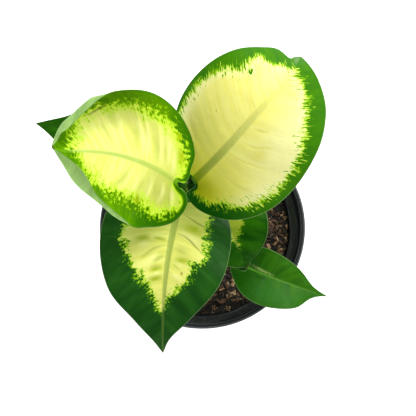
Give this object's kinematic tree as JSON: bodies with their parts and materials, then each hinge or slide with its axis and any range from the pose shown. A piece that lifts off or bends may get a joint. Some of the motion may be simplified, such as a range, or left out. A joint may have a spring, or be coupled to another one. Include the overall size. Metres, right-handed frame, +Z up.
{
  "type": "potted dieffenbachia",
  "caption": "Young dieffenbachia with broad cream and green variegated leaves on a short cane, growing in a round black nursery pot.",
  "frame": {"origin": "centre of the pot's flat underside, on the surface it stands on", "axes": "+Z up through the pot; -Y is the side that the front leaf points to, and +X is the side of the small lowest leaf"},
  "size_m": [0.1776, 0.1642, 0.2626],
  "materials": {
    "pot_plastic": "black moulded polypropylene, satin, with a soft highlight along the rolled lip",
    "potting_soil": "damp dark brown peat and bark chips, rough",
    "cane": "green ringed stem, satin",
    "leaf_pale": "waxy leaf, cream to yellow green with a feathered green margin",
    "leaf_mixed": "waxy leaf, dark green with a feathered cream wedge along the midrib",
    "leaf_dark": "waxy leaf, dark green"
  },
  "bodies": {
    "root": {"pot": "pot_plastic", "soil": "potting_soil", "cane": "cane", "leaf_upper_left": "leaf_pale", "leaf_upper_right": "leaf_pale", "leaf_front": "leaf_mixed", "leaf_lower_right": "leaf_dark", "leaf_back_left": "leaf_dark", "leaf_small_right": "leaf_dark"}
  },
  "joints": []
}
